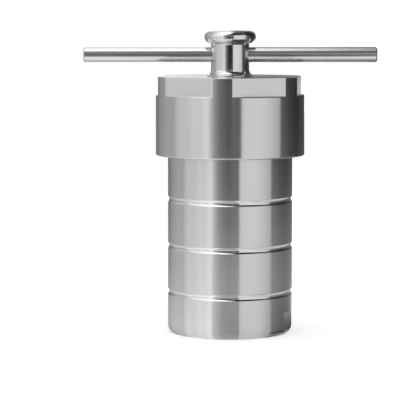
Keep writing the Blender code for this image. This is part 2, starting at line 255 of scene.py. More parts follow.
def shell_outline(angle):
    """The shell's outline where the spanner flats cut it at this angle."""
    cut = flat_cut(angle, SPANNER_AZIMUTHS, SHELL_RADIUS, SPANNER_FLAT_DEPTH)
    wall = SHELL_RADIUS - cut
    foot = arc(SHELL_RADIUS - BASE_ROUND, BASE_ROUND, BASE_ROUND, -90, 0, steps=14)
    corners = [(0.0, 0.0)] + [(min(r, wall), z) for r, z in foot]
    corners += [(wall, SPANNER_HEIGHT, WORN_ROUND if cut else 0.0)]
    corners += [(SHELL_RADIUS, SPANNER_HEIGHT, min(SPANNER_LEDGE_ROUND, cut / 2))]
    # A groove's hollow runs into the round of each lip without a corner. Both is the sum of their radii.
    half = GROOVE_WIDTH / 2
    both = (half ** 2 + GROOVE_DEPTH ** 2) / (2 * GROOVE_DEPTH)
    reach = math.degrees(math.atan2(half, both - GROOVE_DEPTH))
    lip = SHELL_RADIUS - LIP_ROUND
    centre = lip - GROOVE_DEPTH + both
    for z in GROOVE_HEIGHTS:
        corners += [(SHELL_RADIUS, z - half - LIP_LAND)]
        corners += arc(lip, z - half, LIP_ROUND, 0, reach, steps=8)[:-1]
        corners += arc(centre, z, both - LIP_ROUND, 180 + reach, 180 - reach, steps=16)
        corners += arc(lip, z + half, LIP_ROUND, -reach, 0, steps=8)[1:]
        corners += [(SHELL_RADIUS, z + half + LIP_LAND)]
    relief_end = NECK_RELIEF_TOP + NECK_ROOT_RADIUS - NECK_RELIEF_RADIUS
    corners += [(SHELL_RADIUS, SHOULDER, SHOULDER_ROUND), (NECK_RELIEF_RADIUS, SHOULDER, TOOL_ROUND)]
    corners += [(NECK_RELIEF_RADIUS, NECK_RELIEF_TOP, TOOL_ROUND), (NECK_ROOT_RADIUS, relief_end, KEEN_ROUND)]
    corners += [(NECK_ROOT_RADIUS, SHELL_TOP, TOOL_ROUND), (BORE_RADIUS, SHELL_TOP, BORE_MOUTH_ROUND)]
    corners += [(BORE_RADIUS, SHELL_FLOOR, BORE_FLOOR_ROUND), (0.0, SHELL_FLOOR)]
    return rounded(corners)


def paint(piece, materials, choose):
    """Gives each face the material whose number choose returns for its centre's radius and height and for
    its normal."""
    for material in materials:
        piece.data.materials.append(material)
    for face in piece.data.polygons:
        middle = face.center
        face.material_index = choose(math.hypot(middle.x, middle.y), middle.z, face.normal)


def upright(normal):
    """Whether a face stands upright, as a milled flat does."""
    return abs(normal.z) < 0.02


def shell_finish(radius, z, normal):
    """0 for a turned face, 1 for one in a groove and 2 for one on a spanner flat. A face counts as cut where
    it lies a little inside the round wall."""
    clear = 0.001
    groove_least = 0.00003
    flat_least = 0.0002
    among_grooves = SPANNER_HEIGHT + clear < z < SHOULDER - clear
    if among_grooves and BORE_RADIUS + clear < radius < SHELL_RADIUS - groove_least:
        return 1
    if z < SPANNER_HEIGHT and BORE_RADIUS < radius < SHELL_RADIUS - flat_least and upright(normal):
        return 2
    return 0


shell_angles = flat_columns(SPANNER_AZIMUTHS, spanner_half, inside=24, outside=96)
shell = skin("shell_turning", [shell_outline(a) for a in shell_angles], shell_angles, closed=False)
paint(shell, (turned_steel, polished_groove, milled_steel), shell_finish)
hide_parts("shell")
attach(shell, "vessel")


def settled(piece):
    """Applies a piece's modifiers, so that what is kept is a plain mesh."""
    bpy.context.view_layer.update()
    depsgraph = bpy.context.evaluated_depsgraph_get()
    mesh = bpy.data.meshes.new_from_object(piece.evaluated_get(depsgraph))
    piece.modifiers.clear()
    piece.data = mesh
    return piece


# Each ridge's foot is sunk a little into its wall, so that no gap shows beneath it.
RIDGE_SINK = 0.00005
NECK_THREAD = {"Base Radius": NECK_ROOT_RADIUS - RIDGE_SINK, "Ridge Height": 0.00110, "Root Width": 0.00175,
               "Crest Width": 0.00035, "Pitch": 0.002, "Turns": 6.0, "Facing": 1.0}
NECK_THREAD_START = 0.1004


def thread_tree(material, start, runout=0.03, thinnest=0.03):
    """Nodes that sweep a ridge along a right-handed helix from a starting height. Over the runout, a share of
    its length at each end, it thins to almost nothing."""
    tree = bpy.data.node_groups.new("thread_ridge", "GeometryNodeTree")
    sizes = ("Base Radius", "Ridge Height", "Root Width", "Crest Width", "Pitch", "Turns", "Facing")
    for size in sizes:
        tree.interface.new_socket(name=size, in_out="INPUT", socket_type="NodeSocketFloat")
    tree.interface.new_socket(name="Geometry", in_out="OUTPUT", socket_type="NodeSocketGeometry")
    given = node(tree, "NodeGroupInput").outputs
    rise = node(tree, "ShaderNodeMath", {0: given["Pitch"], 1: given["Turns"]}, operation="MULTIPLY")
    spiral = node(tree, "GeometryNodeCurveSpiral",
                  {"Resolution": 96, "Rotations": given["Turns"], "Start Radius": given["Base Radius"],
                   "End Radius": given["Base Radius"], "Height": rise.outputs[0], "Reverse": True})
    placed = node(tree, "GeometryNodeTransform",
                  {"Geometry": spiral.outputs[0], "Translation": (0.0, 0.0, start)})
    normals = node(tree, "GeometryNodeSetCurveNormal", {"Curve": placed.outputs[0]}, mode="Z_UP")
    along = node(tree, "GeometryNodeSplineParameter").outputs["Factor"]
    to_end = node(tree, "ShaderNodeMath", {0: 1.0, 1: along}, operation="SUBTRACT")
    nearer = node(tree, "ShaderNodeMath", {0: along, 1: to_end.outputs[0]}, operation="MINIMUM")
    taper = node(tree, "ShaderNodeMapRange",
                 {"Value": nearer.outputs[0], "From Min": 0.0, "From Max": runout,
                  "To Min": thinnest, "To Max": 1.0})
    tapered = node(tree, "GeometryNodeSetCurveRadius",
                   {"Curve": normals.outputs[0], "Radius": taper.outputs[0]})
    profile = node(tree, "GeometryNodeCurvePrimitiveQuadrilateral",
                   {"Bottom Width": given["Root Width"], "Top Width": given["Crest Width"],
                    "Height": given["Ridge Height"], "Offset": 0.0}, mode="TRAPEZOID")
    half = node(tree, "ShaderNodeMath", {0: given["Ridge Height"], 1: 0.5}, operation="MULTIPLY")
    lift = node(tree, "ShaderNodeCombineXYZ", {1: half.outputs[0]})
    footed = node(tree, "GeometryNodeTransform",
                  {"Geometry": profile.outputs[0], "Translation": lift.outputs[0]})
    quarter = node(tree, "ShaderNodeMath", {0: given["Facing"], 1: math.radians(-90.0)}, operation="MULTIPLY")
    swing = node(tree, "ShaderNodeCombineXYZ", {2: quarter.outputs[0]})
    stood = node(tree, "GeometryNodeTransform",
                 {"Geometry": footed.outputs[0], "Rotation": swing.outputs[0]})
    ridge = node(tree, "GeometryNodeCurveToMesh",
                 {"Curve": tapered.outputs[0], "Profile Curve": stood.outputs[0], "Fill Caps": True})
    painted = node(tree, "GeometryNodeSetMaterial", {"Geometry": ridge.outputs[0], "Material": material})
    real = node(tree, "GeometryNodeRealizeInstances", {"Geometry": painted.outputs[0]})
    node(tree, "NodeGroupOutput", {"Geometry": real.outputs[0]})
    return tree


def thread(name, sizes, start, material):
    """A thread's ridge as a plain mesh, from the nodes and its sizes."""
    piece = bpy.data.objects.new(name, bpy.data.meshes.new(name))
    bpy.context.collection.objects.link(piece)
    modifier = piece.modifiers.new("thread", "NODES")
    modifier.node_group = thread_tree(material, start)
    for socket in modifier.node_group.interface.items_tree:
        if socket.in_out == "INPUT":
            modifier[socket.identifier] = sizes[socket.name]
    settled(piece)
    piece.data.shade_flat()
    return piece


neck_thread = thread("neck_thread", NECK_THREAD, NECK_THREAD_START, turned_steel)
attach(neck_thread, "vessel")


# The lower disc
# A loose stainless disc in the bottom of the bore, faced on a lathe. The liner stands on it, and it is
# pushed up to free the liner.

DISC_EDGE = 0.0006
TURNING_FACETS = 192

# Facing leaves fine rings, which give the flat sides a satin sheen.
disc_steel = steel("faced_stainless_304", "#C6C6C6", roughness=0.24, anisotropy=0.85, line_mm=0.5,
                   line_depth_mm=0.0006, stain=0.2)


def turned(name, corners, facets=TURNING_FACETS):
    """A plain turning: one rounded outline all the way round."""
    outline = rounded(corners)
    return skin(name, [outline] * facets, [2 * math.pi * i / facets for i in range(facets)], closed=False)


def loose_disc(name):
    """A faced disc with broken edges, as large as its CAD node."""
    low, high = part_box(name)
    radius = (high.x - low.x) / 2
    face = radius - DISC_EDGE
    corners = [(0.0, low.z), (face, low.z, KEEN_ROUND), (radius, low.z + DISC_EDGE, KEEN_ROUND)]
    corners += [(radius, high.z - DISC_EDGE, KEEN_ROUND), (face, high.z, KEEN_ROUND), (0.0, high.z)]
    piece = turned(name + "_faced", corners)
    piece.data.materials.append(disc_steel)
    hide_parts(name)
    return piece


lower_disc = loose_disc("lower_disc")
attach(lower_disc, "vessel")


# The liner
# A thick beaker turned from a rod of white fluoropolymer. The polymer is a little see-through and waxy,
# so its edges look soft, and the tool leaves fine rings, drawn 0.4 mm apart so that they show.

LINER_WALL = 0.007
LINER_FLOOR = 0.009
LINER_EDGE = 0.0006
LINER_CORNER = 0.005
LINER_FOOT = 0.0015
LINER_RING_MM = 0.4

fluoropolymer = bpy.data.materials.new("turned_white_fluoropolymer")
fluoropolymer.use_nodes = True
tree = fluoropolymer.node_tree
shader = tree.nodes["Principled BSDF"]
shader.inputs["IOR"].default_value = 1.35
shader.inputs["Subsurface Weight"].default_value = 0.25
shader.inputs["Subsurface Radius"].default_value = (1.0, 1.0, 1.0)
shader.inputs["Subsurface Scale"].default_value = 0.0015
place = node(tree, "ShaderNodeTexCoord").outputs["Object"]
apart = node(tree, "ShaderNodeSeparateXYZ", {0: place})
flat = node(tree, "ShaderNodeCombineXYZ", {0: apart.outputs[0], 1: apart.outputs[1]})
radius = node(tree, "ShaderNodeVectorMath", {0: flat.outputs[0]}, operation="LENGTH")
run = node(tree, "ShaderNodeMath", {0: radius.outputs["Value"], 1: apart.outputs[2]}, operation="ADD")
rings = node(tree, "ShaderNodeTexNoise",
             {"W": run.outputs[0], "Scale": 1000.0 / LINER_RING_MM, "Detail": 2.0}, noise_dimensions="1D")
cloud = node(tree, "ShaderNodeTexNoise", {"Vector": place, "Scale": 45.0, "Detail": 3.0})
bump = node(tree, "ShaderNodeBump", {"Strength": 1.0, "Distance": 0.00001, "Height": rings.outputs["Fac"]})
tree.links.new(bump.outputs[0], shader.inputs["Normal"])
tint = node(tree, "ShaderNodeMix", {0: cloud.outputs["Fac"], 6: linear("#F1F1EC"), 7: linear("#E9E9E4")},
            data_type="RGBA")
tree.links.new(tint.outputs[2], shader.inputs["Base Color"])
rough = node(tree, "ShaderNodeMapRange", {"Value": cloud.outputs["Fac"], "To Min": 0.36, "To Max": 0.5})
tree.links.new(rough.outputs[0], shader.inputs["Roughness"])

liner_low, liner_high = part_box("liner")
outer = (liner_high.x - liner_low.x) / 2
inner = outer - LINER_WALL
floor_z = liner_low.z + LINER_FLOOR
corners = [(0.0, liner_low.z), (outer, liner_low.z, LINER_FOOT)]
corners += [(outer, liner_high.z - LINER_EDGE, WORN_ROUND), (outer - LINER_EDGE, liner_high.z, WORN_ROUND)]
corners += [(inner + LINER_EDGE, liner_high.z, WORN_ROUND), (inner, liner_high.z - LINER_EDGE, WORN_ROUND)]
corners += arc(inner - LINER_CORNER, floor_z + LINER_CORNER, LINER_CORNER, 0, -90, steps=16)
corners += [(0.0, floor_z)]
liner = turned("liner_turning", corners)
liner.data.materials.append(fluoropolymer)
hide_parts("liner")
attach(liner, "vessel")


# The liner's lid
# The same white fluoropolymer, turned with a flange that rests on the liner's rim and a spigot that
# plugs it.

LID_FLANGE = 0.006
SPIGOT_CLEARANCE = 0.0003
FLANGE_FILLET = 0.0003
lid_low, lid_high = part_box("liner_lid")
outer = (lid_high.x - lid_low.x) / 2
spigot = inner - SPIGOT_CLEARANCE
flange_z = lid_high.z - LID_FLANGE
corners = [(0.0, lid_low.z), (spigot - LINER_EDGE, lid_low.z, WORN_ROUND)]
corners += [(spigot, lid_low.z + LINER_EDGE, WORN_ROUND), (spigot, flange_z, FLANGE_FILLET)]
corners += [(outer - LINER_EDGE, flange_z, WORN_ROUND), (outer, flange_z + LINER_EDGE, WORN_ROUND)]
corners += [(outer, lid_high.z - LINER_EDGE, WORN_ROUND), (outer - LINER_EDGE, lid_high.z, WORN_ROUND)]
corners += [(0.0, lid_high.z)]
lid = turned("liner_lid_turning", corners)
lid.data.materials.append(fluoropolymer)
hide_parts("liner_lid")
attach(lid, "vessel")


# The pressure disc
# A loose stainless disc on the liner's lid, faced like the lower one. The pressing screw bears on its
# middle and it spreads the load.

pressure_disc = loose_disc("pressure_disc")
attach(pressure_disc, "pressure_disc")


# The screw cap
# One turning in the same steel: a plate over a threaded skirt, tapped in the middle for the pressing screw,
# with six flats milled round its top for a spanner.

cap_low, cap_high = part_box("cap")
CAP_RADIUS = (cap_high.x - cap_low.x) / 2
CAP_BOTTOM = cap_low.z
CAP_TOP_RISE = 0.00025
CAP_TOP = cap_high.z + CAP_TOP_RISE
CAP_FLATS = 6
CAP_FIRST_FLAT = 24.2
CAP_FLAT_DEPTH = 0.003
CAP_FLAT_HEIGHT = 0.00975
CAP_ROUND_BREAK = 0.00012
CAP_FLAT_BREAK = 0.00009
CAP_BREAK_FADE = 20
CAP_LEDGE_BREAK = 0.00035
CAP_BREAK_ROUND = 0.00004
CAP_TOP_ROUND = 0.00006
CAP_BOTTOM_ROUND = 0.0010
CAP_MOUTH_RADIUS = 0.0339
CAP_MOUTH_DEPTH = 0.0022
CAP_ROOT_RADIUS = 0.0331
CAP_RELIEF = 0.0002
CAP_SKIRT = 0.028
CAP_CEILING_ROUND = 0.0015
CAP_THREAD_LENGTH = 0.018
TAPPED_RADIUS = 0.01005
TAPPED_CHAMFER = 0.0008
TAPPED_END_ROUND = 0.0005
CAP_AZIMUTHS = tuple(CAP_FIRST_FLAT + 360.0 / CAP_FLATS * i for i in range(CAP_FLATS))
cap_half = math.degrees(math.acos((CAP_RADIUS - CAP_FLAT_DEPTH) / CAP_RADIUS))


def cap_outline(angle):
    """The cap's outline where its flats cut it at this angle."""
    cut = flat_cut(angle, CAP_AZIMUTHS, CAP_RADIUS, CAP_FLAT_DEPTH)
    wall = CAP_RADIUS - cut
    ledge = CAP_TOP - CAP_FLAT_HEIGHT
    top_break = max(CAP_ROUND_BREAK - cut / CAP_BREAK_FADE, CAP_FLAT_BREAK)
    ledge_break = min(CAP_LEDGE_BREAK, cut / 3)
    ceiling = CAP_BOTTOM + CAP_SKIRT
    mouth_top = CAP_BOTTOM + CAP_MOUTH_DEPTH
    thread_top = mouth_top + CAP_THREAD_LENGTH
    relief = CAP_ROOT_RADIUS + CAP_RELIEF
    corners = [(CAP_RADIUS, CAP_BOTTOM, CAP_BOTTOM_ROUND)]
    corners += [(CAP_RADIUS, ledge - ledge_break, CAP_BREAK_ROUND)]
    corners += [(CAP_RADIUS - ledge_break, ledge, CAP_BREAK_ROUND), (wall, ledge, min(WORN_ROUND, cut / 3))]
    corners += [(wall, CAP_TOP - top_break, CAP_BREAK_ROUND), (wall - top_break, CAP_TOP, CAP_TOP_ROUND)]
    corners += [(TAPPED_RADIUS + TAPPED_CHAMFER, CAP_TOP, KEEN_ROUND)]
    corners += [(TAPPED_RADIUS, CAP_TOP - TAPPED_CHAMFER, KEEN_ROUND)]
    corners += [(TAPPED_RADIUS, ceiling, TAPPED_END_ROUND), (relief, ceiling, CAP_CEILING_ROUND)]
    corners += [(relief, thread_top, KEEN_ROUND), (CAP_ROOT_RADIUS, thread_top - CAP_RELIEF, KEEN_ROUND)]
    corners += [(CAP_ROOT_RADIUS, mouth_top, WORN_ROUND), (CAP_MOUTH_RADIUS, mouth_top, WORN_ROUND)]
    corners += [(CAP_MOUTH_RADIUS, CAP_BOTTOM, TOOL_ROUND)]
    return rounded(corners)


def cap_finish(radius, z, normal):
    """0 for a turned face and 1 for one on a milled flat, which lies a little inside the round wall."""
    least = 0.00002
    most = CAP_FLAT_DEPTH + 0.001
    beside = z > CAP_TOP - CAP_FLAT_HEIGHT and CAP_RADIUS - most < radius < CAP_RADIUS - least
    return 1 if beside and upright(normal) else 0


cap_angles = flat_columns(CAP_AZIMUTHS, cap_half, inside=30, outside=24)
cap = skin("cap_turning", [cap_outline(a) for a in cap_angles], cap_angles, closed=True)
paint(cap, (turned_steel, milled_steel), cap_finish)
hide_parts("cap")
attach(cap, "cap")

# The cap's ridge starts half a pitch below the neck's, so that each runs in the other's groove.
CAP_THREAD = {"Base Radius": CAP_ROOT_RADIUS + RIDGE_SINK, "Ridge Height": 0.00112, "Root Width": 0.00175,
              "Crest Width": 0.00035, "Pitch": NECK_THREAD["Pitch"], "Turns": 7.6, "Facing": -1.0}
CAP_THREAD_START = NECK_THREAD_START - CAP_THREAD["Pitch"] / 2
cap_thread = thread("cap_thread", CAP_THREAD, CAP_THREAD_START, turned_steel)
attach(cap_thread, "cap")

HOLE_THREAD = {"Base Radius": TAPPED_RADIUS + RIDGE_SINK, "Ridge Height": 0.00125, "Root Width": 0.00215,
               "Crest Width": 0.0004, "Pitch": 0.0025, "Turns": 4.2, "Facing": -1.0}
HOLE_THREAD_START = CAP_TOP - 5 * HOLE_THREAD["Pitch"]
hole_thread = thread("hole_thread", HOLE_THREAD, HOLE_THREAD_START, turned_steel)
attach(hole_thread, "cap")


# The retaining ring
# An open snap ring of spring steel in the screw's groove, under the cap, so that the screw can't come out.
# Tempering and oil leave it dark and finely mottled.

ring_low, ring_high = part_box("retaining_ring")
RING_RADIUS = -ring_low.x
RING_INSIDE = 0.0077
RING_SWEEP = 310.0
RING_EDGE = 0.00012
RING_STEPS = 96
RING_SHARP_ANGLE = 30
spring_steel = bpy.data.materials.new("oiled_spring_steel")
spring_steel.use_nodes = True
tree = spring_steel.node_tree
shader = tree.nodes["Principled BSDF"]
shader.inputs["Metallic"].default_value = 1.0
place = node(tree, "ShaderNodeTexCoord").outputs["Object"]
mottle = node(tree, "ShaderNodeTexNoise", {"Vector": place, "Scale": 900.0, "Detail": 4.0})
tint = node(tree, "ShaderNodeMix", {0: mottle.outputs["Fac"], 6: linear("#5A5A5E"), 7: linear("#8A8A8E")},
            data_type="RGBA")
tree.links.new(tint.outputs[2], shader.inputs["Base Color"])
rough = node(tree, "ShaderNodeMapRange", {"Value": mottle.outputs["Fac"], "To Min": 0.28, "To Max": 0.45})
tree.links.new(rough.outputs[0], shader.inputs["Roughness"])

outline = rounded([(RING_INSIDE, ring_low.z, RING_EDGE), (RING_RADIUS, ring_low.z, RING_EDGE),
                   (RING_RADIUS, ring_high.z, RING_EDGE), (RING_INSIDE, ring_high.z, RING_EDGE)])
bm = bmesh.new()
columns = []
for i in range(RING_STEPS + 1):
    angle = math.radians(RING_SWEEP * i / RING_STEPS)
    columns.append([bm.verts.new((r * math.cos(angle), r * math.sin(angle), z)) for r, z in outline])
for column, beside in zip(columns, columns[1:]):
    for j in range(len(column)):
        k = (j + 1) % len(column)
        bm.faces.new((column[j], beside[j], beside[k], column[k]))
bm.faces.new(columns[0])
bm.faces.new(columns[-1])
bmesh.ops.recalc_face_normals(bm, faces=bm.faces)
mesh = bpy.data.meshes.new("retaining_ring_blank")
bm.to_mesh(mesh)
bm.free()
mesh.shade_smooth()
mesh.set_sharp_from_angle(angle=math.radians(RING_SHARP_ANGLE))
ring = bpy.data.objects.new("retaining_ring_blank", mesh)
bpy.context.collection.objects.link(ring)
mesh.materials.append(spring_steel)
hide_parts("retaining_ring")
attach(ring, "retaining_ring")


# The pressing screw and its knob
# Turned in one from a bar of stainless steel and polished bright: a round-edged head, a waist with a cross
# hole for the bar, a flared collar, the thread and a plain tip with the ring's groove.

screw_low, screw_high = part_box("press_screw")
bar_low, bar_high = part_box("tommy_bar")
HEAD_RADIUS = (screw_high.x - screw_low.x) / 2
SCREW_BOTTOM = screw_low.z
HEAD_TOP = screw_high.z
HEAD_UPPER_ROUND = 0.0032
HEAD_LOWER_ROUND = 0.0035
HEAD_DOME = 0.0002
DOME_START = 88
DOME_SHOULDER = 0.45
DOME_FALL = 0.25
NECK_RADIUS = 0.01025
NECK_HEIGHT = 0.0175
NECK_FILLET = 0.0010
COLLAR_RADIUS = 0.0123
COLLAR_EDGE = 0.0005
COLLAR_FILLET = 0.0035
COLLAR_UNDERCUT = 0.0022
COLLAR_UNDER_ROUND = 0.0003
FLARE_MARGIN = 3
SCREW_ROOT_RADIUS = 0.0086
TIP_RADIUS = 0.0084
TIP_LENGTH = 0.0042
TIP_ROUND = 0.0006
RING_GROOVE_RADIUS = 0.0074
RING_GROOVE_LOW = 0.0012
RING_GROOVE_HIGH = 0.0030
BAR_RADIUS = (bar_high.z - bar_low.z) / 2
BAR_AXIS = (bar_high.z + bar_low.z) / 2
BAR_CLEARANCE = 0.0003
HOLE_RADIUS = BAR_RADIUS + BAR_CLEARANCE
CROSS_HOLE_CHAMFER = 0.0003
DRILL_REACH = 0.02
DRILL_FACETS = 96
SCREW_SHARP_ANGLE = 28

# Polishing leaves a clear mirror with only a trace of the turning lines.
bright_steel = steel("polished_stainless_bar", "#D2D2D2", roughness=0.13, anisotropy=0.3, line_mm=0.6,
                     line_depth_mm=0.0002, stain=0.2)

collar_z = HEAD_TOP - HEAD_DOME - HEAD_UPPER_ROUND - HEAD_LOWER_ROUND - NECK_HEIGHT
head_z = collar_z + NECK_HEIGHT
rim_z = head_z + HEAD_LOWER_ROUND
step = SCREW_ROOT_RADIUS - TIP_RADIUS
corners = [(0.0, SCREW_BOTTOM), (TIP_RADIUS, SCREW_BOTTOM, TIP_ROUND)]
for r, height in ((TIP_RADIUS, RING_GROOVE_LOW), (RING_GROOVE_RADIUS, RING_GROOVE_LOW),
                  (RING_GROOVE_RADIUS, RING_GROOVE_HIGH), (TIP_RADIUS, RING_GROOVE_HIGH),
                  (TIP_RADIUS, TIP_LENGTH), (SCREW_ROOT_RADIUS, TIP_LENGTH + step)):
    corners.append((r, SCREW_BOTTOM + height, KEEN_ROUND))
corners += [(SCREW_ROOT_RADIUS, collar_z - COLLAR_UNDERCUT - step, KEEN_ROUND)]
corners += [(TIP_RADIUS, collar_z - COLLAR_UNDERCUT, KEEN_ROUND), (TIP_RADIUS, collar_z, COLLAR_UNDER_ROUND)]
corners += [(COLLAR_RADIUS, collar_z, KEEN_ROUND), (COLLAR_RADIUS, collar_z + COLLAR_EDGE, WORN_ROUND)]
# The flare into the neck starts a few degrees late, which leaves the collar's edge room for its own round.
flare = math.degrees(math.acos(1 - (COLLAR_RADIUS - NECK_RADIUS) / COLLAR_FILLET))
flare_z = collar_z + COLLAR_EDGE + COLLAR_FILLET * math.sin(math.radians(flare))
corners += arc(NECK_RADIUS + COLLAR_FILLET, flare_z, COLLAR_FILLET, 180 + flare - FLARE_MARGIN, 180, steps=16)
# The fillet under the head meets the head's lower round without a corner.
across = HEAD_RADIUS - HEAD_LOWER_ROUND - NECK_RADIUS - NECK_FILLET
fillet_z = rim_z - math.sqrt((HEAD_LOWER_ROUND + NECK_FILLET) ** 2 - across ** 2)
meet = math.degrees(math.atan2(rim_z - fillet_z, across))
corners += arc(NECK_RADIUS + NECK_FILLET, fillet_z, NECK_FILLET, 180, meet, steps=12)[:-1]
corners += arc(HEAD_RADIUS - HEAD_LOWER_ROUND, rim_z, HEAD_LOWER_ROUND, meet - 180, 0, steps=18)
corners += arc(HEAD_RADIUS - HEAD_UPPER_ROUND, rim_z, HEAD_UPPER_ROUND, 0, DOME_START, steps=16)[1:]
corners += [(HEAD_RADIUS * DOME_SHOULDER, HEAD_TOP - HEAD_DOME * DOME_FALL), (0.0, HEAD_TOP)]
screw = turned("press_screw_turning", corners)
screw.data.materials.append(bright_steel)

mouth = HOLE_RADIUS + 2 * CROSS_HOLE_CHAMFER
mouth_end = NECK_RADIUS + CROSS_HOLE_CHAMFER
hole_end = NECK_RADIUS - CROSS_HOLE_CHAMFER
corners = [(0.0, -DRILL_REACH), (mouth, -DRILL_REACH), (mouth, -mouth_end), (HOLE_RADIUS, -hole_end)]
corners += [(HOLE_RADIUS, hole_end), (mouth, mouth_end), (mouth, DRILL_REACH), (0.0, DRILL_REACH)]
drill = turned("drill", corners, DRILL_FACETS)
drill.data.materials.append(bright_steel)
drill.rotation_euler = (0.0, math.radians(90.0), 0.0)
drill.location = (0.0, 0.0, BAR_AXIS)
modifier = screw.modifiers.new("cross_hole", "BOOLEAN")
modifier.object = drill
settled(screw)
screw.data.set_sharp_from_angle(angle=math.radians(SCREW_SHARP_ANGLE))
bpy.data.objects.remove(drill, do_unlink=True)
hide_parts("press_screw")
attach(screw, "press_screw")

# The screw's ridge starts one and a half pitches below the hole's, so that it runs between its turns.
SCREW_THREAD = {"Base Radius": SCREW_ROOT_RADIUS - RIDGE_SINK, "Ridge Height": 0.00125, "Root Width": 0.00215,
                "Crest Width": 0.0004, "Pitch": HOLE_THREAD["Pitch"], "Turns": 5.2, "Facing": 1.0}
SCREW_THREAD_START = HOLE_THREAD_START - 1.5 * SCREW_THREAD["Pitch"]
screw_thread = thread("screw_thread", SCREW_THREAD, SCREW_THREAD_START, turned_steel)
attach(screw_thread, "press_screw")


# The tommy bar
# A length of 8 mm round stainless bar, chamfered at both ends, that slides in the knob's cross hole.
# Centreless grinding leaves it even all round, bright, and with a faint haze.

BAR_HALF = (bar_high.x - bar_low.x) / 2
BAR_CHAMFER = 0.0006
BAR_FACETS = 96
bar_steel = steel("ground_stainless_bar", "#D4D4D4", roughness=0.20, anisotropy=0.0, line_mm=0.9,
                  line_depth_mm=0.00005, stain=0.08, haze=0.07, axis="X")
face = BAR_RADIUS - BAR_CHAMFER
side_end = BAR_HALF - BAR_CHAMFER
corners = [(0.0, -BAR_HALF), (face, -BAR_HALF, KEEN_ROUND), (BAR_RADIUS, -side_end, KEEN_ROUND)]
corners += [(BAR_RADIUS, side_end, KEEN_ROUND), (face, BAR_HALF, KEEN_ROUND), (0.0, BAR_HALF)]
bar = turned("tommy_bar_ground", corners, BAR_FACETS)
# It is turned upright and then laid along X, at the height of the cross hole.
for vertex in bar.data.vertices:
    x, y, z = vertex.co
    vertex.co = (z, y, BAR_AXIS - x)
bar.data.materials.append(bar_steel)
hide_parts("tommy_bar")
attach(bar, "tommy_bar")


# The room
# A white floor and surround, with bright screens and dark flags stood round the reactor, laid on the table
# and hung overhead, as a studio does for polished metal. They show in the metal only.

SURROUND_LIGHT = 0.75
FLOOR_HALF = 4.0
FLOOR_GLOW = 0.44

world = bpy.data.worlds.new("white_surround")
bpy.context.scene.world = world
world.use_nodes = True
tree = world.node_tree
path = node(tree, "ShaderNodeLightPath")
seen = node(tree, "ShaderNodeMath", {0: path.outputs["Is Camera Ray"], 1: path.outputs["Is Glossy Ray"]},
            operation="MAXIMUM")
seen = node(tree, "ShaderNodeMath", {0: seen.outputs[0], 1: path.outputs["Is Transmission Ray"]},
            operation="MAXIMUM")
level = node(tree, "ShaderNodeMapRange", {"Value": seen.outputs[0], "To Min": SURROUND_LIGHT, "To Max": 1.0})
background = tree.nodes["Background"]
background.inputs["Color"].default_value = linear("#FFFFFF")
tree.links.new(level.outputs[0], background.inputs["Strength"])

# The floor glows for the camera alone, so that it looks white and still holds the reactor's shadow.
floor_mesh = bpy.data.meshes.new("floor")
floor_corners = [(FLOOR_HALF * x, FLOOR_HALF * y, 0.0) for x, y in ((-1, -1), (1, -1), (1, 1), (-1, 1))]
floor_mesh.from_pydata(floor_corners, [], [(0, 1, 2, 3)])
floor = bpy.data.objects.new("floor", floor_mesh)
bpy.context.collection.objects.link(floor)
floor_material = bpy.data.materials.new("white_floor")
floor_material.use_nodes = True
tree = floor_material.node_tree
shader = tree.nodes["Principled BSDF"]
shader.inputs["Base Color"].default_value = linear("#F3F3F3")
shader.inputs["Roughness"].default_value = 0.9
shader.inputs["Specular IOR Level"].default_value = 0.0
shader.inputs["Emission Color"].default_value = linear("#FFFFFF")
path = node(tree, "ShaderNodeLightPath")
glow = node(tree, "ShaderNodeMapRange",
            {"Value": path.outputs["Is Camera Ray"], "To Min": 0.0, "To Max": FLOOR_GLOW})
tree.links.new(glow.outputs[0], shader.inputs["Emission Strength"])
floor_mesh.materials.append(floor_material)

# The grooves lie between these two heights. A sight line from one of them counts as steep from the first
# fall on, and fully from the second, in metres of fall for each metre of sight.
GROOVES_FROM = 0.020
GROOVES_TO = 0.090
STEEP_FROM = 0.2
STEEP_FULL = 0.4


